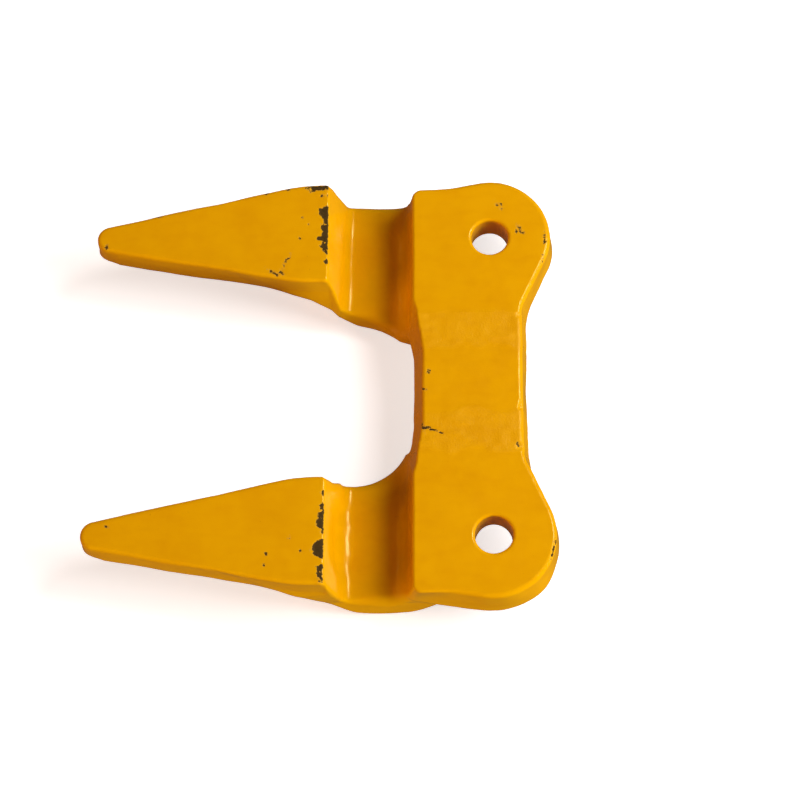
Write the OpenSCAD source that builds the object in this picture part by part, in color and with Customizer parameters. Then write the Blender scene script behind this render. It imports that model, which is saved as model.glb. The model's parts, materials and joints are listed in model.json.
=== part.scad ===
// Double knife guard for a mower or combine cutter bar.
// Two forged fingers, each with its own drilled pad, are joined by a short tie
// plate with a weld at each end. X runs along the cutter bar, the fingers point
// towards -Y, and +Z is up. The origin is midway between the two bolt holes,
// on the top face of the pads.

/* [Pitch and holes] */
// Distance between the two bolt holes, which is also the knife pitch
pitch = 76.2; // [72:0.1:90]
// Diameter of each bolt hole
hole_d = 9; // [6:0.5:11]

/* [Pads and web] */
// Thickness of the pads and of the tie plate
plate_t = 8.8; // [7:0.1:9.5]
// Radius of the rounded rear of a pad, at its top face
boss_r = 14.8; // [13:0.1:16]
// Distance from the hole line forward to the front edge of a pad
pad_front = 19; // [18:0.1:20]
// Distance from the hole line forward to the front edge of the tie plate
web_front = 16.6; // [15:0.1:17]
// Distance from the hole line back to the rear edge of the tie plate
web_rear = 6.7; // [5:0.1:9]
// Distance from the middle of the guard to the end of each forging's arm
arm_end = 18; // [17:0.1:20]
// Width of each weld at its top and bottom faces
weld_w = 9; // [6:0.1:11]
// Width of each weld at its waist, where the two bevelled ends come closest
weld_waist = 2.4; // [1:0.1:4]
// Distance that an upright wall widens from the top face to the underside
wall_draft = 1.2; // [0.4:0.1:2]

/* [Fingers] */
// Distance from the hole line forward to the finger tip
finger_reach = 97; // [85:0.5:110]
// Distance from the hole line forward to the rear edge of a finger's top face
finger_back = 39.7; // [38:0.1:42]
// Height of a finger's top face above the top of the pads
finger_rise = 2; // [0:0.1:3]
// Width of a finger's top face at its rear edge
finger_w = 26.4; // [24:0.1:28]
// Radius of a finger's tip
tip_r = 3.4; // [2:0.1:5]
// Length of the parallel stretch of a finger, forward of its rear edge
finger_parallel = 7; // [4:0.5:10]
// Height of a finger's flank, from its top face down to the parting line
flank_h = 5.5; // [4:0.1:7]

/* [Knife channel] */
// Depth of the channel floor below the top of the pads
channel_depth = 11; // [8:0.1:12]
// Thickness of the neck under the channel floor
neck_t = 7.3; // [6:0.1:9]
// Slope of the channel's front wall, below a finger, away from upright in degrees
front_slope = 20; // [15:1:24]
// Slope of the channel's rear wall, below a pad, away from upright in degrees
rear_slope = 10; // [4:1:20]
// Radius between the channel's floor and its front wall
front_fillet = 2; // [1:0.5:4]
// Radius between the channel's floor and its rear wall
rear_fillet = 4; // [2:0.5:5]
// Reach of the neck beyond the hole centre on its outer side
neck_outer = 14.2; // [13:0.1:15]
// Reach of the neck beyond the hole centre on its inner side
neck_inner = 16; // [14:0.1:17]
// Radius of the throat between the neck and the tie plate
throat_r = 11.5; // [8:0.5:12]

/* [Hidden] */

// Thickness of the slabs that a hull is stretched between
skin = 0.05;
// Distance that a cutter runs past the face that it cuts
over = 2;
// Facets round a hull's own circles, and round the bolt hole
hull_fn = 32;
hole_fn = 64;
// Steps in an arc of the channel or of the throat
arc_steps = 8;

// Inner reach of the flat pad from its hole, where the arm takes over
pad_inner = 14;
// Reach of the flat pad's front corner beyond its hole on the outer side
pad_corner = 12.8;
// Distance that the arm's front wall widens from its top face to its underside
arm_front_draft = 4.4;
// Distance that the tie plate's front wall widens likewise, at its middle and its ends
web_front_draft = 2.5;
weld_front_draft = 3.3;
// Distance that a finger widens on each side from its top face to its parting line
flank_draft = 0.9;
// Width of the keel under a finger, and its height below the tip's parting line
keel_w = 7;
keel_tip = 1.2;
// Distance forward of the channel at which a finger starts to swell into the neck
shoulder_run = 11;
// Depth and width of the bevel along each lower edge of the neck
neck_bevel = 3.5;
// Height of the keel's underside where that swelling starts
keel_root = -11;
// Distance that the neck runs on past the channel's floor, at its front and its rear
neck_lead = 4;
// Distance from the hole line forward to where the neck's rear slope meets the pad
neck_rear = 11;

weld_inner = arm_end - weld_w;
bevel_nose = (weld_w - weld_waist) / 2;
arm_u = pitch / 2 - arm_end;
neck_bottom = -channel_depth - neck_t;
parting_z = finger_rise - flank_h;
channel_y = -finger_back + (finger_rise + channel_depth) * tan(front_slope);
throat_y = -pad_front - throat_r - 1;
tip_keel_y = finger_reach - 2 * tip_r;

function arc(centre, r, from, to) = [
    for (i = [0 : arc_steps])
    let (a = from + (to - from) * i / arc_steps)
    centre + r * [cos(a), sin(a)]
];

// Extrudes a [y, z] outline along X, starting at x
module along_x(x, length) {
    translate([x, 0, 0]) rotate([90, 0, 90]) linear_extrude(length) children();
}

// Extrudes an [x, z] outline towards -Y, starting at y
module along_y(y, length) {
    translate([0, y, 0]) rotate([90, 0, 0]) linear_extrude(length) children();
}

// Thin level slab of an [x, y] outline, with its top at z
module slab(z) {
    translate([0, 0, z - skin]) linear_extrude(skin) children();
}

// Thin slice across the bar at x, from its front edge to its rear edge
module bar_slice(x, front, front_draft) {
    along_x(x - skin / 2, skin)
    polygon([
        [-front, 0],
        [-front - front_draft, -plate_t],
        [web_rear + wall_draft, -plate_t],
        [web_rear, 0]
    ]);
}

// The bar on one side, from its pad to the inner end of its weld
module bar_run(side) {
    hull() {
        bar_slice(side * (pitch / 2 - pad_inner), pad_front, arm_front_draft);
        bar_slice(side * weld_inner, web_front, weld_front_draft);
    }
}

// The bar between the two welds, a little hollow along its front
module bar_middle() {
    for (side = [-1, 1])
    hull() {
        bar_slice(side * weld_inner, web_front, weld_front_draft);
        bar_slice(0, web_front, web_front_draft);
    }
}

// Outline in [x, z] of a bar end at x, with a nose that reaches on towards dir
function bevel_end(x, dir) = [
    [x, over],
    [x, 0],
    [x + dir * bevel_nose, -plate_t / 2],
    [x, -plate_t],
    [x, -plate_t - over]
];

// Prism of an [x, z] outline, which divides the bar at its bevels
module divider(outline) {
    along_y(web_rear + 2 * over, pad_front + web_rear + 10 * over) polygon(outline);
}

// Reverses a list of points, to close an outline
function reversed(points) = [for (i = [len(points) - 1 : -1 : 0]) points[i]];

module tie_web() {
    color("orange")
    intersection() {
        union() {
            bar_run(-1);
            bar_middle();
            bar_run(1);
        }
        divider(concat(bevel_end(-weld_inner, -1), reversed(bevel_end(weld_inner, 1))));
    }
}

module weld(side) {
    color("darkgoldenrod")
    intersection() {
        bar_run(side);
        divider(concat(
            bevel_end(side * arm_end, -side),
            reversed(bevel_end(side * weld_inner, side))
        ));
    }
}

module left_weld() weld(-1);

module right_weld() weld(1);

// Drilled pad with a rounded rear, up to the start of the arm
module pad() {
    hull() {
        translate([0, 0, -plate_t])
        cylinder(r1 = boss_r + wall_draft, r2 = boss_r, h = plate_t, $fn = 2 * hull_fn);
        slab(0) polygon([
            [-pad_corner, -pad_front], [pad_inner, -pad_front],
            [arm_u, -web_front], [arm_u, web_rear]
        ]);
        slab(skin - plate_t) polygon([
            [-pad_corner - wall_draft, -pad_front - arm_front_draft],
            [pad_inner, -pad_front - arm_front_draft],
            [arm_u, -web_front], [arm_u, web_rear + wall_draft]
        ]);
    }
}

// Arm from the pad to the weld, ending in a nose between two bevels
module arm() {
    start = pad_inner - pitch / 2;
    translate([pitch / 2, 0, 0])
    intersection() {
        bar_run(-1);
        divider(concat([[start, -plate_t - over], [start, over]], bevel_end(-arm_end, 1)));
    }
}

// Block that carries the knife channel, with the throat on its inner side
module neck() {
    throat = [neck_inner + throat_r, throat_y];
    front = channel_y - neck_lead;
    intersection() {
        translate([0, 0, neck_bottom])
        linear_extrude(-neck_bottom)
        polygon(concat(
            [[-neck_outer, -neck_rear], [-neck_outer, front], [neck_inner, front]],
            arc(throat, throat_r, 180, 90),
            [[neck_inner + throat_r, -neck_rear]]
        ));
        along_x(-neck_outer, neck_outer + arm_u)
        polygon([
            [-neck_rear, 0], [-neck_rear, -plate_t], [-pad_front - neck_lead, neck_bottom],
            [front, neck_bottom], [front, -channel_depth], [channel_y, 0]
        ]);
        along_y(0, finger_back + over)
        polygon([
            [-pad_corner, 0], [-neck_outer, -plate_t], [-neck_outer, neck_bottom + neck_bevel],
            [neck_bevel - neck_outer, neck_bottom], [neck_inner - neck_bevel, neck_bottom],
            [neck_inner, neck_bottom + neck_bevel], [arm_u, -plate_t], [arm_u, 0]
        ]);
    }
}

// Outline of a finger's top face, grown by grow on every side
module blade_outline(grow) {
    hull() {
        translate([0, tip_r - finger_reach]) circle(tip_r + grow, $fn = hull_fn);
        translate([-finger_w / 2 - grow, -finger_back - finger_parallel])
        square([finger_w + 2 * grow, finger_parallel]);
    }
}

// Flat-topped finger that tapers to its tip, with a keel below
module blade() {
    hull() {
        slab(finger_rise) blade_outline(0);
        slab(parting_z) blade_outline(flank_draft);
        along_x(-keel_w / 2, keel_w)
        polygon([
            [-tip_keel_y, parting_z], [-tip_keel_y, parting_z - keel_tip],
            [channel_y, neck_bottom + neck_bevel], [channel_y, parting_z]
        ]);
    }
}

// Swelling of the finger's rear into the neck
module shoulder() {
    wall_foot = front_fillet - channel_depth;
    half = finger_w / 2 - 1;
    hull() {
        along_y(-finger_back - shoulder_run, skin)
        polygon([
            [-half, parting_z], [half, parting_z], [keel_w / 2, keel_root], [-keel_w / 2, keel_root]
        ]);
        along_y(channel_y + front_fillet / 2, front_fillet / 2 + neck_lead)
        polygon([
            [-neck_outer, wall_foot], [-neck_outer, neck_bottom + neck_bevel],
            [neck_bevel - neck_outer, neck_bottom], [neck_inner - neck_bevel, neck_bottom],
            [neck_inner, neck_bottom + neck_bevel], [neck_inner, wall_foot]
        ]);
        slab(finger_rise)
        translate([-finger_w / 2, -finger_back - finger_parallel])
        square([finger_w, finger_parallel]);
    }
}

// Open space of the knife channel, with sloped walls and rounded corners
module channel_cutter() {
    height = finger_rise + over;
    front = -finger_back - over * tan(front_slope);
    rear = -pad_front + height * tan(rear_slope);
    floor_rear = -pad_front - channel_depth * tan(rear_slope);
    front_inset = front_fillet * tan(45 - front_slope / 2);
    rear_inset = rear_fillet * tan(45 - rear_slope / 2);
    front_turn = 90 - front_slope;
    rear_turn = 90 - rear_slope;
    along_x(-neck_outer - over, neck_outer + arm_u + over)
    polygon(concat(
        [[rear, height], [front, height]],
        arc([channel_y + front_inset, front_fillet - channel_depth], front_fillet,
            270 - front_turn, 270),
        arc([floor_rear - rear_inset, rear_fillet - channel_depth], rear_fillet,
            270, 270 + rear_turn)
    ));
}

// One forging, with its hole on the Z axis and its arm towards +X
module finger_forging() {
    difference() {
        union() {
            pad();
            arm();
            neck();
            blade();
            shoulder();
        }
        channel_cutter();
        translate([0, 0, -plate_t - over])
        cylinder(d = hole_d, h = plate_t + 2 * over, $fn = hole_fn);
    }
}

module left_finger() {
    color("goldenrod")
    translate([-pitch / 2, 0, 0])
    finger_forging();
}

module right_finger() {
    mirror([1, 0, 0])
    left_finger();
}

left_finger();
right_finger();
tie_web();
left_weld();
right_weld();
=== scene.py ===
"""Painted double knife guard: the looks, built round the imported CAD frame.

The whole guard is described once as a solid field, in millimetres and in the CAD frame: X along
the cutter bar, fingers towards -Y, +Z up, top of the pads at z = 0. Below zero is inside. The
field is meshed, roughened as a forging is, and then sawn at the weld bevels into its five pieces.
"""
import json
import math

import bmesh
import bpy
import numpy as np
from mathutils import Matrix, Vector


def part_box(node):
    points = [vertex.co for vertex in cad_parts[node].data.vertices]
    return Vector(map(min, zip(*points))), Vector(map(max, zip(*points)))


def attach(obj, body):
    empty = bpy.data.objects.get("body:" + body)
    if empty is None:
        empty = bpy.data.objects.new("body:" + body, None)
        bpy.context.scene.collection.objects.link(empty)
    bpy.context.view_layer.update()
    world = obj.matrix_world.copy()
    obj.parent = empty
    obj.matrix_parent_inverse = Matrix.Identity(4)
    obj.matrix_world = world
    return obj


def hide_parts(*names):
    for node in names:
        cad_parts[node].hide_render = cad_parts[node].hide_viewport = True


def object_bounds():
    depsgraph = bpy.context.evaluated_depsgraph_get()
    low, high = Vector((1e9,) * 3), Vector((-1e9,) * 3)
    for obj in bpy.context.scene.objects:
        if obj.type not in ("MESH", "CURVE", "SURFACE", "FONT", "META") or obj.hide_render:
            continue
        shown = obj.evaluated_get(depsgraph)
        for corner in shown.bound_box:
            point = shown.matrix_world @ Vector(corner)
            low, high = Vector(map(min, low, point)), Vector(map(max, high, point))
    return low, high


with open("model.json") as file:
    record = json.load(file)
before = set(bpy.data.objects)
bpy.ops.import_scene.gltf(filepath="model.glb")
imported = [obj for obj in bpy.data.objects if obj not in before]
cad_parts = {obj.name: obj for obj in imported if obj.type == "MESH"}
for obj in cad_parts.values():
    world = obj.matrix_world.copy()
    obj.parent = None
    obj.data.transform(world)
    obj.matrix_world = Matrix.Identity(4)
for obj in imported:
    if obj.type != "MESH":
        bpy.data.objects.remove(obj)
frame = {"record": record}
cad_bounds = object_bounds()

MM = 0.001

# ---------------------------------------------------------------- sizes taken from the frame
mounts = {m["name"]: m for m in frame["record"]["mounts"]}
finger_box = [[c / MM for c in corner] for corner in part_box("left_finger")]

half_pitch = mounts["bolt_holes"]["dims"]["spacing_x_mm"] / 2
hole_r = mounts["bolt_holes"]["dims"]["hole_r_mm"]
plate_t = -mounts["nut_face"]["pos_m"][2] / MM
finger_rise = mounts["left_shear_face"]["pos_m"][2] / MM
tip_y = finger_box[0][1] + 0.9
neck_bottom = finger_box[0][2]

# ---------------------------------------------------------------- shape of the forging, in mm
boss_r = 15.0            # rounded rear of a pad, at its top face
boss_shift = 0.25        # its centre, ahead of the hole
boss_draft = 0.11        # widening of a pad's wall for each mm of depth
outer_draft = 0.08       # and how much more on its outer side
web_rear = 7.4           # hole line to the web's rear edge
web_rear_draft = 0.15
web_front = 16.6         # hole line to the web's front edge
web_front_draft = 0.32
web_flare = 0.16         # how fast that edge runs forward beyond the tie plate
weld_inner = 9.0         # middle of the guard to the tie plate's ends
weld_outer = 18.0        # middle of the guard to the forgings' arm ends
weld_nose = 3.3          # how far a bevelled end reaches on at mid thickness
pad_front = 19.0         # hole line to a pad's front edge
pad_outer = 12.1         # hole to a pad's outer side, at that edge
plate_reach = 26.0       # how far forward the plate runs on, inside the necks
throat_r = (15.0, 12.0)  # plan radius between neck and web, left and right

channel_depth = 11.0
front_slope = math.radians(20)   # channel walls from upright
rear_slope = math.radians(9)
rear_fillet = 4.8
# The front wall's foot wanders, as forged: by X, its radius and how far forward it is.
front_fillet = ((-52, -24, 24, 29, 33, 40, 44, 51), (1.5, 2.4, 1.8, 2.4, 4.2, 3.9, 2.5, 1.9))
foot_forward = ((-52, -24, 24, 27, 31, 35, 42, 46, 51), (0.4, 1.5, 0.4, 0.7, 1.9, 2.5, 2.2, 1.2, 0.5))
finger_back = 39.7       # hole line to a finger's rear edge

neck_outer = 13.5        # reach of the neck from its hole line at the channel's floor
neck_inner = 15.5
neck_draft = 0.25
neck_rear = 20.5         # hole line to the rear end of the neck's flat bottom
shoulder_draft = 0.20    # spread of the shoulder's sides for each mm below the parting line
shoulder_start = 49.5    # hole line to the front of the shoulder, at the parting line
prow = 9.0               # how much further forward the shoulder starts along its middle

finger_half = 13.2       # half the width of a finger's rear
finger_parallel = 7.0
nose_r = 3.4
flank_h = 5.5            # top face down to the parting line
# Spread of the flanks for each mm of depth, at distances from the tip.
flank_draft = ((0, 5, 20, 36, 45), (0.08, 0.23, 0.18, 0.06, 0.02))
keel_tip = 1.8           # depth of the keel below the parting line, at the tip
keel_root = 9.6          # and at the channel
keel_r = 3.5

# Radius of the top faces' edges, at distances from the hole line: sharpest along the channel.
top_edge_r = ((9, 15, 38.5, 40, 41.5), (1.0, 0.5, 0.4, 0.4, 0.8))

plate_edge_r = 1.2       # lower edges of the pads and web
forging_edge_r = 1.5     # edges between a forging's sides and its underside
plate_fillet = 0.5       # where the necks grow out of the plate
hole_edge_r = 0.7

# Both fingers stand a little askew: how far to +X they are, at distances from the hole line.
finger_drift = ((-14, 0, 19, 30, 42, 97), (-0.2, 0, 0.45, -0.3, -0.9, 0.1))

# Which way the lower faces look: away from their own side, and down.
neck_side_normal = (0.94, 0.34)
neck_side_reach = 1.6    # beyond the neck's upright side, 3 mm above its bottom
gusset_normal = (0.55, 0.84)
gusset_reach = 3.4
rear_end_normal = (0.62, 0.78)
front_end_normal = (0.66, 0.75)

grid_step = 0.4

# ---------------------------------------------------------------- marks in the paint, in mm
# Bands of dressed weld across the web: middle and half width.
rough_bands = ((-13.8, 4.3), (12.4, 5.2))

# Teeth of bare metal along the fingers' rear edges: middle, half width, reach forwards.
rear_chips = (
    (-44.6, 2.2, 2.4), (-42.0, 1.4, 1.3), (-40.4, 1.2, 1.7), (-38.8, 1.4, 1.5), (-37.4, 1.4, 2.2),
    (-35.4, 1.4, 1.9), (-33.9, 0.9, 1.0), (-31.3, 1.0, 0.9), (-49.0, 0.6, 0.6),
    (28.2, 1.0, 0.7), (31.6, 1.4, 1.1), (33.6, 1.6, 1.0), (35.6, 1.5, 1.7), (37.9, 0.8, 0.9),
    (41.7, 2.6, 2.7), (46.5, 1.2, 2.1), (47.9, 1.4, 1.2), (49.8, 0.6, 0.5),
)

# Other chips: x, y, length, width, turn of the length from +X.
chips = (
    (-51.3, -41.9, 5.6, 1.6, math.pi / 2), (-50.8, -43.4, 2.2, 1.2, 1.9), (-48.9, -41.5, 0.8, 0.6, 0),
    (-43.2, -46.2, 0.5, 0.4, 0), (-41.2, -44.6, 0.5, 0.5, 0), (-37.6, -46.6, 0.5, 0.4, 0),
    (-28.5, -53.4, 2.0, 0.5, 1.0), (-27.9, -52.2, 1.1, 0.45, 1.8), (-28.4, -51.1, 1.1, 0.8, 0.5),
    (-29.8, -50.6, 1.6, 0.35, -0.3), (-31.9, -49.8, 1.6, 0.35, -0.5), (-43.9, -81.9, 1.4, 0.5, 1.4),
    (-49.8, -55.4, 1.3, 0.5, 1.4), (-50.8, -50.2, 1.3, 0.5, 1.4), (-30.3, -75.9, 1.6, 0.4, 1.8),
    (-35.8, -94.5, 0.9, 0.7, 0.5), (36.0, -90.8, 0.9, 0.5, 1.0), (38.9, -47.8, 0.5, 0.4, 0),
    (42.2, -45.0, 0.6, 0.5, 0), (42.9, -53.1, 0.7, 0.4, 0.6), (45.6, -53.4, 0.4, 0.4, 0),
    (-46.7, 1.9, 0.9, 0.35, 0.6), (-46.3, 2.9, 0.7, 0.35, 0.2), (-40.2, 7.2, 1.5, 0.6, 0.4),
    (-39.2, 8.0, 0.9, 0.45, 0.9), (-39.5, 6.6, 0.6, 0.5, 0), (-37.3, 13.5, 1.7, 0.3, 0.05),
    (-30.4, 13.2, 2.2, 0.35, 0.2), (11.6, -15.9, 0.6, 2.0, 0.2), (12.1, -14.2, 0.5, 2.4, -0.25),
    (12.9, -12.2, 0.4, 1.6, -0.35), (11.1, -16.6, 1.6, 0.5, 0.3), (-2.9, -15.3, 0.7, 0.5, 0.3),
    (1.7, -16.2, 1.0, 0.4, 1.1), (16.1, 6.0, 0.7, 0.5, 0), (42.0, 13.9, 3.6, 0.6, -0.25),
)
chip_recess = 0.12
weld_relief = 0.07
channel_relief = 0.20

# Nicks in the web's rear edge: x, y, radius, depth.
nicks = ((6.5, 6.9, 0.9, 0.40), (5.3, 7.0, 0.7, 0.30), (16.4, 6.7, 1.1, 0.45), (-17.2, 6.9, 0.9, 0.25))


# ---------------------------------------------------------------- field helpers
def round_max(a, b, r):
    """Common part of two solids, with their shared edge rounded to radius r."""
    return np.minimum(np.maximum(a, b), -r) + np.hypot(np.maximum(a + r, 0), np.maximum(b + r, 0))


def round_min(a, b, r):
    """Union of two solids, with a fillet of radius r in the corner between them."""
    return -round_max(-a, -b, r)


def through(u, v, reach, angle):
    """Distance past a straight edge that touches a circle of that reach at that angle."""
    return u * math.cos(angle) + v * math.sin(angle) - reach


def facing(normal, outward, up):
    """Distance past a sloped face that looks outward and down."""
    return normal[0] * outward - normal[1] * up


def smooth_step(value, low, high):
    """0 below low, 1 above high, and a smooth rise between them."""
    t = np.clip((value - low) / (high - low), 0, 1)
    return t * t * (3 - 2 * t)


def lattice_noise(p, seed):
    """Smooth noise from -1 to 1 at points p, one cell to the unit."""
    base = np.floor(p).astype(np.int64)
    t = p - base
    t = t * t * (3 - 2 * t)
    total = np.zeros(len(p))
    for corner in np.ndindex(2, 2, 2):
        key = (base + corner) @ np.array([73856093, 19349663, 83492791]) + seed * 2654435761
        key = (key ^ (key >> 13)) * 1274126177
        value = ((key ^ (key >> 16)) & 0xFFFF) / 32767.5 - 1
        weight = np.prod(np.where(corner, t, 1 - t), axis=1)
        total += weight * value
    return total


# ---------------------------------------------------------------- the forging as a field
def pad_plan(u, y):
    """Plan distance to a pad: a round rear, with straight sides that touch it."""
    y = y + boss_shift
    corner = (-pad_outer, -pad_front)
    web_corner = (half_pitch - weld_outer - 0.6, web_rear)
    outer = math.atan2(corner[1], corner[0]) - math.acos(boss_r / math.hypot(*corner)) + 2 * math.pi
    slope = math.atan2(web_corner[1], web_corner[0]) + math.acos(boss_r / math.hypot(*web_corner))
    angle = np.arctan2(y, u) % (2 * math.pi)
    sides = np.maximum(through(u, y, boss_r, outer), through(u, y, boss_r, slope))
    return np.where((angle > slope) & (angle < outer), np.hypot(u, y) - boss_r, sides)


def front_wall(x, y, z, u):
    """The web's front and the necks' inner sides, joined by the throat's curve."""
    depth = np.clip(-z, 0, plate_t)
    reach = web_front + web_flare * np.maximum(np.abs(x) - weld_inner, 0)
    web = (-y - reach - web_front_draft * depth) * 0.96
    neck = u - neck_inner - neck_draft * np.clip(-channel_depth - z, 0, 5)
    turn = np.where(x < 0, *throat_r)
    return round_min(neck, web, 3 + (turn - 3) * depth / plate_t)


def plate_field(x, y, z, u):
    """Both pads and the web between them."""
    depth = np.clip(-z, 0, plate_t)
    pad = pad_plan(u, y) - (boss_draft + outer_draft * smooth_step(-u, 5, 12)) * depth
    web = np.maximum(y - web_rear - web_rear_draft * depth, 5 - u)
    plan = np.maximum(round_min(pad, web, 0.4 + 0.15 * depth), front_wall(x, y, z, u))
    return round_max(np.maximum(plan, -plate_reach - y), -plate_t - z, plate_edge_r)


def finger_plan(y, u):
    """Plan distance to a finger, and half its width there."""
    lean = (finger_half - nose_r) / (-finger_back - finger_parallel - tip_y - nose_r)
    ahead = y + finger_back + finger_parallel
    half = finger_half + lean * (ahead - np.hypot(ahead, 3)) / 2
    turn = math.atan(lean)
    ahead = y - tip_y - nose_r
    nose = ahead * math.cos(turn) + np.abs(u) * math.sin(turn) < 0
    side = (np.abs(u) - half) * math.cos(turn)
    return np.where(nose, np.hypot(u, ahead) - nose_r, side), half


def forging_sides(x, y, z, u):
    """Upright sides of finger, shoulder and neck, spreading with depth."""
    parting = finger_rise - flank_h
    spread = np.interp(y - tip_y, *flank_draft) * np.minimum(finger_rise - z, flank_h)
    spread = spread + shoulder_draft * np.maximum(parting - z, 0)
    finger = finger_plan(y, u)[0] - spread - 0.45 * np.maximum(y + finger_back, 0)
    outer = -u - neck_outer - neck_draft * np.clip(-channel_depth - z, 0, 5)
    # The neck's inner side slopes below, and turns into a gusset under the web.
    height = z - neck_bottom - 3
    neck_side = facing(neck_side_normal, u - neck_inner - neck_side_reach, height)
    gusset = facing(gusset_normal, u - neck_inner - gusset_reach, height)
    inner = neck_side + (gusset - neck_side) * smooth_step(-y, 10, 18)
    sides = np.maximum(np.maximum(finger, outer), front_wall(x, y, z, u))
    return round_max(sides, inner, 1)


def underside(y, z, u):
    """The finger's keel and, behind it, the neck with its sloped ends."""
    full = finger_plan(y, u)[1] + np.interp(y - tip_y, *flank_draft) * flank_h
    depth = np.maximum(finger_rise - flank_h - z, 0)
    along = np.clip((y - tip_y) / (-finger_back - tip_y), 0, 1.2)
    keel = keel_tip + (keel_root - keel_tip) * along
    ridge = (np.hypot(u, keel_r) - keel_r) / (np.hypot(full, keel_r) - keel_r)
    belly = full * (ridge + (depth / keel) ** 1.6 - 1)
    belly = np.maximum(belly, y + 30)
    rear_end = facing(rear_end_normal, y + neck_rear, z - neck_bottom)
    start = y + shoulder_start + prow * np.maximum(1 - (u / neck_outer) ** 2, 0)
    front_end = facing(front_end_normal, -start, z - finger_rise + flank_h)
    ends = round_max(rear_end, front_end, 2)
    return round_min(belly, round_max(ends, neck_bottom - z, 4), 4)


def channel_field(x, y, z):
    """The open knife channel: sloped walls and a floor, with rounded corners."""
    slope = math.tan(front_slope) - np.interp(x, *foot_forward) / (channel_depth + finger_rise)
    front = -finger_back + (finger_rise - z) * slope - y
    rear = y + pad_front - z * math.tan(rear_slope)
    floor = -channel_depth - z
    front = round_max(front * math.cos(front_slope), floor, np.interp(x, *front_fillet))
    rear = round_max(rear * math.cos(rear_slope), floor, rear_fillet)
    return np.maximum(front, rear)


def guard_field(x, y, z):
    """The whole guard, without its surface texture."""
    x = x - np.interp(-y, *finger_drift) * smooth_step(z, -9, 1)
    u = half_pitch - np.abs(x)
    forging = round_max(forging_sides(x, y, z, u), underside(y, z, u), forging_edge_r)
    body = round_min(plate_field(x, y, z, u), forging, plate_fillet)
    body = round_max(body, -channel_field(x, y, z), np.interp(y, (-34, -24), (1.0, 2.2)))
    top = z - np.where(y < -29, finger_rise, 0)
    body = round_max(body, top, np.interp(-y, *top_edge_r))
    return round_max(body, hole_r - np.hypot(u, y), hole_edge_r)


# ---------------------------------------------------------------- meshing
def surface_net(field, low, high, step):
    """Quad mesh of a field's zero surface: a vertex in each cell that it crosses."""
    axes = [np.arange(a, b + step, step) for a, b in zip(low, high)]
    values = field(*np.meshgrid(*axes, indexing="ij", sparse=True))
    inside = values < 0
    cells = tuple(n - 1 for n in values.shape)
    corners = [np.array(c) for c in np.ndindex(2, 2, 2)]

    def at(array, c, size=cells):
        return array[tuple(slice(o, o + n) for o, n in zip(c, size))]

    count = sum(at(inside, c).astype(np.int8) for c in corners)
    active = np.argwhere((count > 0) & (count < 8))
    value = [values[tuple((active + c).T)] for c in corners]
    total = np.zeros(active.shape)
    crossings = np.zeros(len(active))
    for i, a in enumerate(corners):
        for j, b in enumerate(corners):
            if i < j and np.abs(a - b).sum() == 1:
                cut = (value[i] < 0) != (value[j] < 0)
                share = value[i][cut] / (value[i][cut] - value[j][cut])
                total[cut] += a + share[:, None] * (b - a)
                crossings[cut] += 1
    points = np.array(low) + step * (active + total / crossings[:, None])

    index = np.full(cells, -1, np.int32)
    index[tuple(active.T)] = np.arange(len(active))
    quads = []
    for axis in range(3):
        one, two = [e for e in range(3) if e != axis]
        start = np.ones(3, int)
        start[axis] = 0
        step_on = np.eye(3, dtype=int)[axis]
        size = [values.shape[e] - start[e] - 1 for e in range(3)]
        here, there = at(inside, start, size), at(inside, start + step_on, size)
        node = np.argwhere(here != there) + start
        out = here[tuple((node - start).T)]
        ring = []
        for da, db in ((0, 0), (1, 0), (1, 1), (0, 1)):
            cell = node.copy()
            cell[:, one] -= da
            cell[:, two] -= db
            ring.append(index[tuple(cell.T)])
        ring = np.stack(ring, 1)
        flip = out if axis != 1 else ~out
        quads.append(np.where(flip[:, None], ring, ring[:, ::-1]))
    return points, np.concatenate(quads)


def gradient(field, points, reach=0.02):
    """Slope of a field at each point, by central differences."""
    slopes = []
    for axis in range(3):
        offset = np.eye(3)[axis] * reach
        ahead = field(*(points + offset).T)
        behind = field(*(points - offset).T)
        slopes.append((ahead - behind) / (2 * reach))
    return np.stack(slopes, 1)


def settle(field, points, step, rounds=3):
    """Moves points onto the field's zero surface, and gives the surface's normals there."""
    for _ in range(rounds):
        slope = gradient(field, points)
        size = np.maximum((slope**2).sum(1), 0.05)
        move = (field(*points.T) / size)[:, None] * slope
        reach = np.maximum(np.linalg.norm(move, axis=1) / (step / 2), 1)
        points = points - move / reach[:, None]
    slope = gradient(field, points)
    return points, slope / np.maximum(np.linalg.norm(slope, axis=1), 1e-6)[:, None]


def guard_mesh():
    """The whole guard as one closed mesh, in metres."""
    reach = half_pitch + 18
    low = (-reach, tip_y - 2.1, neck_bottom - 1.7)
    high = (reach, boss_r + 3, finger_rise + 1.3)
    points, quads = surface_net(guard_field, low, high, grid_step)
    points, normals = settle(guard_field, points, grid_step)
    chip, rough = chip_depth(points, normals), dressed(points)
    points = points + normals * surface_relief(points, normals)[:, None]
    mesh = bpy.data.meshes.new("guard")
    mesh.from_pydata((points * MM).tolist(), [], quads.tolist())
    for name, value in (("chip", chip), ("rough", rough)):
        mesh.attributes.new(name, "FLOAT", "POINT").data.foreach_set("value", value)
    return mesh


def dressed(points):
    """How strongly the ground, re-painted weld bands show: 1 on a band, 0 away from it."""
    x, y = points[:, 0], points[:, 1]
    ragged = 1.3 * lattice_noise(points * (0.3, 0.3, 0.3), 5)
    amount = np.zeros(len(points))
    for centre, half_width in rough_bands:
        amount = np.maximum(amount, smooth_step(half_width + ragged - np.abs(x - centre), -1, 1.2))
    return amount * smooth_step(y, -24, -18)


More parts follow.
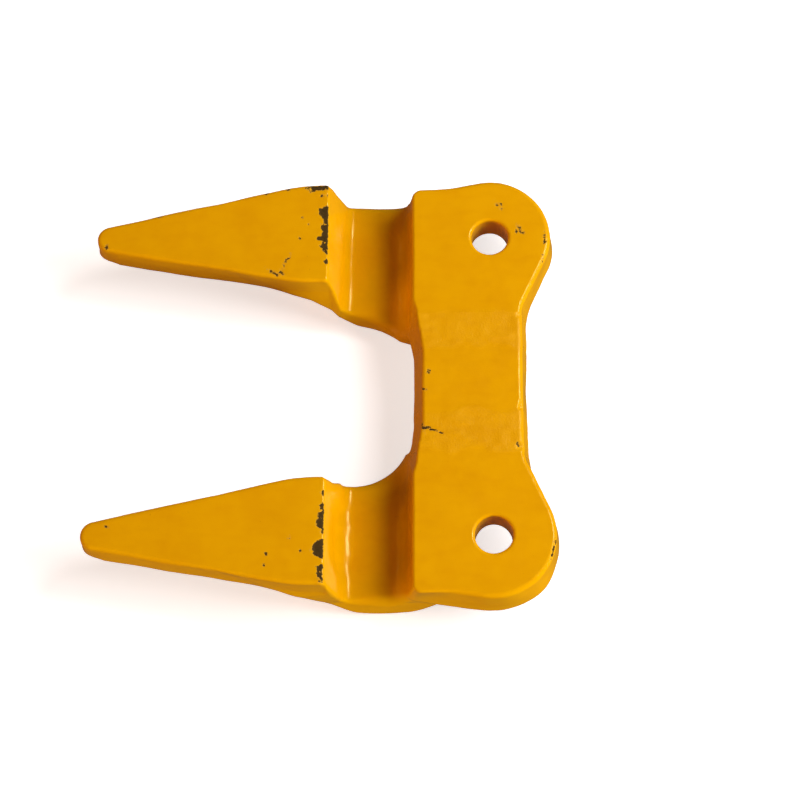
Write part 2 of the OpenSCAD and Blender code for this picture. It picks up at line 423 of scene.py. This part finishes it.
def chip_depth(points, normals):
    """How far inside a chip each point lies, in mm; negative where the paint is whole."""
    x, y, z = points.T
    depth = np.full(len(points), -3.0)
    ragged = 0.8 * lattice_noise(points * (0.9, 0.9, 0), 7)
    ragged = ragged + 0.4 * lattice_noise(points * (2.1, 2.1, 0), 8)
    for middle, half_width, reach in rear_chips:
        dome = 1 - ((x - middle) / half_width) ** 2
        tooth = reach * dome + ragged * (0.4 + 0.3 * reach) - (-finger_back - y)
        depth = np.maximum(depth, np.where((y < -35) & (z > 0.8), tooth, -3))
    depth = np.minimum(depth, (-finger_back - 0.15 - y) * 2 + 3.0 * (y > -35))
    for cx, cy, length, width, angle in chips:
        along = (x - cx) * math.cos(angle) + (y - cy) * math.sin(angle)
        across = (y - cy) * math.cos(angle) - (x - cx) * math.sin(angle)
        spot = width / 2 * (1 - np.hypot(2 * along / length, 2 * across / width))
        depth = np.maximum(depth, spot)
    return np.minimum(depth, (normals[:, 2] - 0.55) * 4)


def surface_relief(points, normals):
    """Height of the forging's uneven, painted skin above its true shape, in mm."""
    broad = 0.12 * lattice_noise(points / 11, 1) + 0.05 * lattice_noise(points / 4.5, 2)
    fine = 0.02 * lattice_noise(points / 1.7, 3)
    weld = weld_relief * lattice_noise(points / (1.3, 2.1, 1.3), 4)
    in_channel = smooth_step(-points[:, 2], 1, 6)
    runs = channel_relief * lattice_noise(points / (6, 7, 9), 6) * in_channel
    top = smooth_step(normals[:, 2], 0.9, 1)
    bare = smooth_step(chip_depth(points, normals), -0.1, 0.2)
    dents = chip_recess * bare
    for x, y, reach, depth in nicks:
        far = np.hypot(points[:, 0] - x, points[:, 1] - y) + 0.5 * np.maximum(-points[:, 2], 0)
        dents = dents + depth * np.maximum(1 - (far / reach) ** 2, 0)
    return broad * (1 - 0.5 * top) + fine + runs + weld * dressed(points) - dents


# ---------------------------------------------------------------- sawing into pieces
slab_under = -plate_t - 0.8   # below this, ends are cut upright through what is left of the necks


def bevel(x, way, side):
    """Plane of a bevelled end: a point on it, and its normal. The nose points along way."""
    rise = weld_nose / (plate_t / 2)
    nose = Vector((x + way * weld_nose, 0, -plate_t / 2))
    return nose, Vector((way, 0, side * rise)).normalized()


def saw(bm, point, normal):
    """Cuts off what lies on the normal's side of a plane, and caps the cut."""
    geometry = bm.verts[:] + bm.edges[:] + bm.faces[:]
    cut = bmesh.ops.bisect_plane(
        bm, geom=geometry, plane_co=point * MM, plane_no=normal, clear_outer=True
    )
    edges = [e for e in cut["geom_cut"] if isinstance(e, bmesh.types.BMEdge)]
    for cap in bmesh.ops.holes_fill(bm, edges=edges, sides=0)["faces"]:
        cap.smooth = False


def sawn(mesh, planes):
    """What is left of a mesh after it is sawn at each plane in turn."""
    bm = bmesh.new()
    bm.from_mesh(mesh)
    for face in bm.faces:
        face.smooth = True
    for point, normal in planes:
        saw(bm, point, normal)
    return bm


def end_plane(x, way, side, own_nose):
    """Plane of a part's end at x: a point on it, and its outward normal.

    side tells the slab: 1 above mid thickness, -1 below it, 0 for the necks below the plate.
    """
    if side == 0:
        nose_way = way if own_nose else -way
        foot = x - nose_way * weld_nose * (-plate_t - slab_under) / (plate_t / 2)
        return Vector((foot, 0, 0)), Vector((way, 0, 0))
    if own_nose:
        return bevel(x, way, side)
    point, normal = bevel(x, -way, side)
    return point, -normal


def open_seam(slab, level):
    """Takes off the caps that a slab got where it joins the next one."""
    seam = [f for f in slab.faces if all(abs(v.co.z - level * MM) < 1e-7 for v in f.verts)]
    bmesh.ops.delete(slab, geom=seam, context="FACES_ONLY")


def part_between(mesh, left, right, own_noses):
    """The part between two bevelled ends, sawn as slabs that are then joined again.

    own_noses tells whether the ends' noses are its own or its neighbours'. An end may be None.
    """
    middle = -plate_t / 2
    part = bmesh.new()
    for low, high, side in ((None, slab_under, 0), (slab_under, middle, -1), (middle, None, 1)):
        planes = [(Vector((0, 0, z)), Vector((0, 0, way))) for z, way in ((low, -1), (high, 1)) if z]
        for x, way in ((left, -1), (right, 1)):
            if x is not None:
                planes.append(end_plane(x, way, side, own_noses))
        slab = sawn(mesh, planes)
        for level in (low, high):
            if level:
                open_seam(slab, level)
        slab_mesh = bpy.data.meshes.new("slab")
        slab.to_mesh(slab_mesh)
        slab.free()
        part.from_mesh(slab_mesh)
        bpy.data.meshes.remove(slab_mesh)
    bmesh.ops.remove_doubles(part, verts=part.verts, dist=1e-6)
    loose = [v for v in part.verts if not v.link_faces]
    bmesh.ops.delete(part, geom=loose, context="VERTS")
    return part


def piece_object(bm, name):
    """An object from sawn parts, smooth except beside the cuts."""
    for edge in bm.edges:
        edge.smooth = all(f.smooth for f in edge.link_faces)
    mesh = bpy.data.meshes.new(name)
    bm.to_mesh(mesh)
    bm.free()
    piece = bpy.data.objects.new(name, mesh)
    bpy.context.scene.collection.objects.link(piece)
    return piece


# ---------------------------------------------------------------- the material
class Nodes:
    """Short calls for wiring a material's nodes."""

    def __init__(self, material):
        self.tree = material.node_tree
        self.place = self.add("ShaderNodeTexCoord").outputs["Object"]

    def add(self, kind, **settings):
        """A new node, with its settings."""
        node = self.tree.nodes.new(kind)
        for name, value in settings.items():
            setattr(node, name, value)
        return node

    def feed(self, socket, value):
        """Gives a socket a constant, or the output of another node."""
        if isinstance(value, bpy.types.NodeSocket):
            self.tree.links.new(value, socket)
        else:
            socket.default_value = value

    def math(self, operation, *values):
        """Result of one arithmetic step."""
        node = self.add("ShaderNodeMath", operation=operation)
        for socket, value in zip(node.inputs, values):
            self.feed(socket, value)
        return node.outputs[0]

    def noise(self, size, detail=2.0, roughness=0.5, stretch=(1, 1, 1)):
        """Noise from 0 to 1 with features of about that size in mm."""
        mapping = self.add("ShaderNodeMapping")
        self.feed(mapping.inputs["Vector"], self.place)
        mapping.inputs["Scale"].default_value = stretch
        node = self.add("ShaderNodeTexNoise")
        self.feed(node.inputs["Vector"], mapping.outputs[0])
        node.inputs["Scale"].default_value = 1 / (size * MM)
        node.inputs["Detail"].default_value = detail
        node.inputs["Roughness"].default_value = roughness
        return node.outputs[0]

    def ramp(self, value, low, high, out_low=0.0, out_high=1.0):
        """Smooth rise from out_low to out_high while the value goes from low to high."""
        node = self.add("ShaderNodeMapRange", interpolation_type="SMOOTHSTEP")
        limits = (value, low, high, out_low, out_high)
        for name, part in zip(("Value", "From Min", "From Max", "To Min", "To Max"), limits):
            self.feed(node.inputs[name], part)
        return node.outputs[0]

    def mix(self, factor, a, b):
        """Colour a where the factor is 0, b where it is 1."""
        node = self.add("ShaderNodeMix", data_type="RGBA")
        self.feed(node.inputs["Factor"], factor)
        self.feed(node.inputs[6], a)  # the colour sockets A and B
        self.feed(node.inputs[7], b)
        return node.outputs[2]

    def field(self, name):
        """A value that the mesh holds at each point."""
        return self.add("ShaderNodeAttribute", attribute_name=name).outputs["Fac"]


speck_colour = (0.42, 0.15, 0.002, 1)
# Pale rim round the chips: partly thinned paint at a chip's edge, partly a painted highlight along the
# fingers' rear edges.
chip_halo_and_edge_highlight_colour = (0.85, 0.50, 0.10, 1)
steel_colours = ((0.035, 0.026, 0.008, 1), (0.12, 0.062, 0.014, 1))
enamel_tint = (1.0, 0.82, 0.38, 1)


def enamel(name, colour, deep_colour, gloss):
    """Thick gloss enamel over forged steel, with bare metal where it has chipped and a pale rim round
    the chips, partly thinned paint and partly painted highlight.
    """
    material = bpy.data.materials.new(name)
    material.use_nodes = True
    n = Nodes(material)
    shader = material.node_tree.nodes["Principled BSDF"]

    edge = n.math("MULTIPLY", n.math("SUBTRACT", n.noise(0.9, 4, 0.7), 0.5), 2.6)
    inside = n.math("ADD", n.field("chip"), edge)
    bare = n.ramp(inside, -0.03, 0.05)
    rough = n.field("rough")

    blotch = n.ramp(n.noise(9, 3), 0.35, 0.7, 0.0, 0.55)
    streak = n.ramp(n.noise(2.2, 2, 0.5, (1, 0.35, 1)), 0.4, 0.75, 0.0, 0.3)
    deep = n.math("ADD", blotch, streak)
    paint = n.mix(deep, colour, deep_colour)
    speck = n.ramp(n.noise(0.55, 2), 0.70, 0.78, 0.0, 0.35)
    speck = n.math("MULTIPLY", speck, n.ramp(n.noise(14, 1), 0.45, 0.65, 0.15, 1))
    paint = n.mix(speck, paint, speck_colour)
    # Pale rim round each chip, partly thinned paint and partly a painted highlight lining the fingers'
    # rear edges between the chips.
    chip_halo_and_edge_highlight = n.math("MULTIPLY", n.ramp(inside, -0.28, -0.05), n.math("SUBTRACT", 1.0, bare))
    paint = n.mix(n.math("MULTIPLY", chip_halo_and_edge_highlight, 0.35), paint, chip_halo_and_edge_highlight_colour)

    steel = n.mix(n.noise(0.9, 4, 0.7), *steel_colours)
    n.feed(shader.inputs["Base Color"], n.mix(bare, paint, steel))

    uneven = n.ramp(n.noise(3.5, 3), 0.3, 0.7, gloss, gloss + 0.08)
    painted = n.math("ADD", uneven, n.math("MULTIPLY", rough, 0.12))
    n.feed(shader.inputs["Roughness"], n.ramp(bare, 0, 1, painted, 0.6))
    shader.inputs["Specular IOR Level"].default_value = 0.45
    shader.inputs["Specular Tint"].default_value = enamel_tint
    n.feed(shader.inputs["Metallic"], n.math("MULTIPLY", bare, 0.25))

    peel = n.math("MULTIPLY", n.noise(1.5, 1), 0.022)
    grain = n.math("MULTIPLY", n.noise(0.45, 3, 0.6), n.ramp(rough, 0, 1, 0.006, 0.10))
    step = n.math("MULTIPLY", n.ramp(inside, -0.10, 0.10), -0.16)
    pitting = n.math("MULTIPLY", n.math("MULTIPLY", n.noise(0.35, 3), bare), 0.12)
    height = n.math("ADD", n.math("ADD", peel, grain), n.math("ADD", step, pitting))
    bump = n.add("ShaderNodeBump")
    bump.inputs["Distance"].default_value = MM
    bump.inputs["Strength"].default_value = 0.9
    n.feed(bump.inputs["Height"], height)
    n.feed(shader.inputs["Normal"], bump.outputs[0])
    return material


# ---------------------------------------------------------------- the pieces
whole = guard_mesh()
finger_enamel = enamel("finger_enamel", (0.84, 0.404, 0.0003, 1), (0.78, 0.350, 0.0002, 1), 0.15)
web_enamel = enamel("web_enamel", (0.84, 0.402, 0.0003, 1), (0.77, 0.345, 0.0002, 1), 0.19)
pieces = {
    "left_finger": (part_between(whole, None, -weld_outer, True), "finger_paint"),
    "left_weld": (part_between(whole, -weld_outer, -weld_inner, False), "web_paint"),
    "tie_web": (part_between(whole, -weld_inner, weld_inner, True), "web_paint"),
    "right_weld": (part_between(whole, weld_inner, weld_outer, False), "web_paint"),
    "right_finger": (part_between(whole, weld_outer, None, True), "finger_paint"),
}
for node, (shape, slot) in pieces.items():
    piece = piece_object(shape, "painted_" + node)
    piece.data.materials.append(web_enamel if slot == "web_paint" else finger_enamel)
    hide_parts(node)
    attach(piece, "root")


# ---------------------------------------------------------------- camera, floor and light
def add_camera(azimuth, elevation, roll, distance, target, lens):
    """The scene's camera: angles in degrees, distance and target in metres, lens in mm."""
    data = bpy.data.cameras.new("camera")
    data.sensor_width = 36
    data.lens = lens
    camera = bpy.data.objects.new("camera", data)
    a, e = math.radians(azimuth), math.radians(elevation)
    back = Vector((math.sin(a) * math.cos(e), -math.cos(a) * math.cos(e), math.sin(e)))
    turn = back.to_track_quat("Z", "Y").to_matrix().to_4x4()
    spin = Matrix.Rotation(math.radians(roll), 4, "Z")
    camera.matrix_world = Matrix.Translation(Vector(target) + back * distance) @ turn @ spin
    bpy.context.scene.collection.objects.link(camera)
    bpy.context.scene.camera = camera


add_camera(
    azimuth=96.07, elevation=69.92, roll=-6.32, distance=0.4792,
    target=(0.00449, -0.02204, 0), lens=89.95,
)


def add_light(name, direction, size, power, colour):
    """A round area light that looks at the middle of the guard."""
    place = light_aim + Vector(direction).normalized() * light_distance
    data = bpy.data.lights.new(name, "AREA")
    data.shape = "DISK"
    data.size = size
    data.energy = power
    data.color = colour
    light = bpy.data.objects.new(name, data)
    light.location = place
    light.rotation_euler = (place - light_aim).to_track_quat("Z", "Y").to_euler()
    light.visible_glossy = name == "key"  # the others only fill, and leave no highlight
    bpy.context.scene.collection.objects.link(light)


white = (1, 1, 1)
light_aim = Vector((0, -0.03, 0))
light_distance = 0.9
# Direction from the guard, size in metres, power in watts, and colour.
lights = {
    "key": ((-0.28, 0.57, 0.775), 0.28, 2.85, white),
    "window": ((0.05, 0.80, 0.60), 0.50, 5.5, white),
    "low_back": ((0.05, 0.96, 0.25), 0.50, 2.3, white),
    "side_fill": ((0.98, 0.15, 0.02), 0.20, 5.0, white),
    "warm_fill": ((0.25, -0.95, 0.25), 0.50, 3.5, (1, 0.52, 0.27)),
}
for name, settings in lights.items():
    add_light(name, *settings)

world = bpy.data.worlds.new("studio")
world.use_nodes = True
world.node_tree.nodes["Background"].inputs["Color"].default_value = (1, 0.62, 0.4, 1)
world.node_tree.nodes["Background"].inputs["Strength"].default_value = 0.11
bpy.context.scene.world = world
bpy.context.scene.view_settings.view_transform = "Standard"

floor_mesh = bpy.data.meshes.new("floor")
floor_z = cad_bounds[0].z
floor_half = 3.0
corners = [(x * floor_half, y * floor_half, floor_z) for x, y in ((-1, -1), (1, -1), (1, 1), (-1, 1))]
floor_mesh.from_pydata(corners, [], [(0, 1, 2, 3)])
floor = bpy.data.objects.new("floor", floor_mesh)
floor_material = bpy.data.materials.new("floor")
floor_material.use_nodes = True
floor_shader = floor_material.node_tree.nodes["Principled BSDF"]
floor_shader.inputs["Base Color"].default_value = (0.92, 0.92, 0.92, 1)
floor_shader.inputs["Roughness"].default_value = 0.8
floor_shader.inputs["Emission Color"].default_value = (1, 1, 1, 1)
floor_shader.inputs["Emission Strength"].default_value = 0.6
floor_mesh.materials.append(floor_material)
bpy.context.scene.collection.objects.link(floor)
# A white floor's bounce would turn the yellow flanks grey, so it only catches the shadow.
floor.visible_diffuse = False
floor.visible_glossy = False

bpy.context.view_layer.update()
